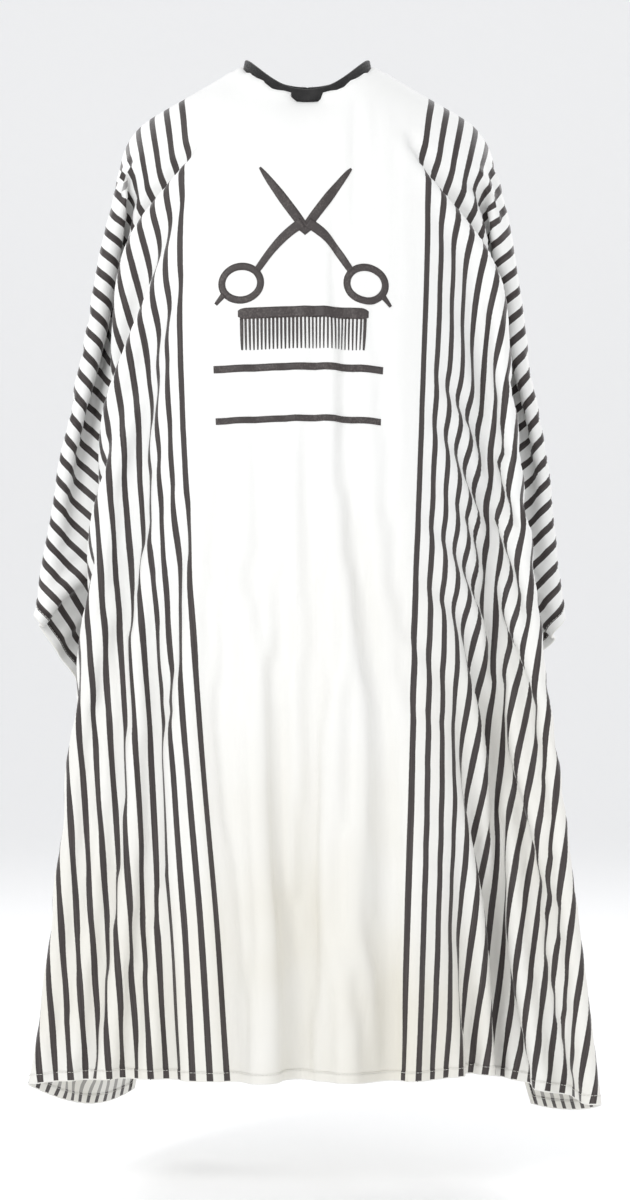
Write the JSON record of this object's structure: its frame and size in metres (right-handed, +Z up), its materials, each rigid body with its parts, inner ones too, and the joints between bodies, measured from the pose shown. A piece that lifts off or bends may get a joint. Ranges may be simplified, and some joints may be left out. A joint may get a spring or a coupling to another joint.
{
  "type": "barber cape",
  "caption": "Barber cape: one light sheet hanging from a snap-closed knit neckband, with turned hems, an open back slit and a snap tab at the nape.",
  "frame": {"origin": "middle of the neck opening, level with the sides of the neck", "axes": "+Z up, the wearer faces -Y, +X is the wearer's left"},
  "size_m": [0.7182, 0.4481, 1.2601],
  "materials": {
    "cape_cloth": "plain woven polyester, white",
    "striped_cloth": "plain woven polyester, white with dark printed stripes along the length",
    "hem": "double turned and stitched",
    "knit_band": "black rib knit",
    "elastic": "flat woven elastic",
    "closure_tape": "black woven tape",
    "snap": "black moulded snap"
  },
  "bodies": {
    "root": {"cloth_back_left": "striped_cloth", "cloth_back_right": "striped_cloth", "cloth_front_centre": "cape_cloth", "cloth_front_left": "striped_cloth", "cloth_front_right": "striped_cloth", "cloth_neck": "cape_cloth", "cloth_shoulder_left": "striped_cloth", "cloth_shoulder_right": "striped_cloth", "cloth_side_left": "striped_cloth", "cloth_side_right": "striped_cloth", "hem_back_left": "hem", "hem_back_right": "hem", "hem_front": "hem", "hem_side_left": "hem", "hem_side_right": "hem", "hem_slit_left": "hem", "hem_slit_right": "hem", "neckband_elastic": "elastic", "neckband_inner": "knit_band", "neckband_outer": "knit_band", "snap_stud_1": "snap", "snap_stud_2": "snap", "snap_stud_3": "snap", "snap_stud_4": "snap", "stud_backing_1": "snap", "stud_backing_2": "snap", "stud_backing_3": "snap", "stud_backing_4": "snap", "tab_root": "closure_tape"},
    "snap_tab": {"snap_cap_1": "snap", "snap_cap_2": "snap", "snap_socket_1": "snap", "snap_socket_2": "snap", "tab_lining": "closure_tape", "tab_outer": "closure_tape"}
  },
  "joints": [
    {"name": "tab_peel", "type": "hinge", "parent": "root", "child": "snap_tab", "pos_m": [0, 0.06855, -0.02047], "axis": [0, -0.1987, 0.9801], "range_deg": [0, 110]}
  ]
}
